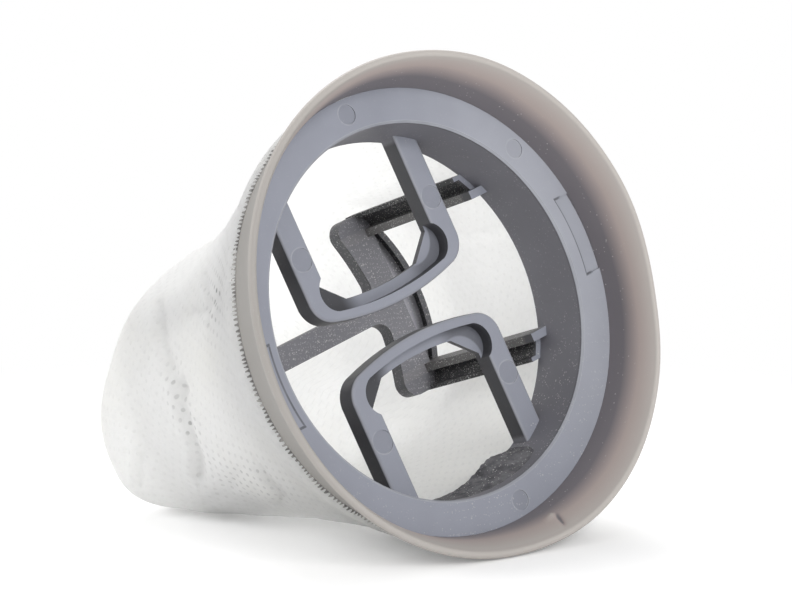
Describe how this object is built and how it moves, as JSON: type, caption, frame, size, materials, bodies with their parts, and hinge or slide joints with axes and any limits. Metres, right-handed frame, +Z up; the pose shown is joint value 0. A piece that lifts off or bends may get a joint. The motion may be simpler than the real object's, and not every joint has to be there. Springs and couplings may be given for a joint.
{
  "type": "vacuum filter",
  "caption": "Handheld vacuum filter: white nonwoven bag over a grey plastic ring and cage with finger loops, sealed by a flared rubber lip; lies on its side.",
  "frame": {"origin": "centre of the footprint, on the surface that the filter lies on", "axes": "+Z up, +X the way the mouth faces as seen from above, +Y to the right seen from in front of the mouth"},
  "size_m": [0.0922, 0.0964, 0.0923],
  "materials": {
    "grey_plastic": "satin moulded plastic with pale dust",
    "taupe_rubber": "matt soft rubber",
    "white_nonwoven": "spunbond nonwoven with embossed dots"
  },
  "bodies": {
    "root": {"ring_frame": "grey_plastic", "lip_seal": "taupe_rubber", "filter_bag": "white_nonwoven"}
  },
  "joints": []
}
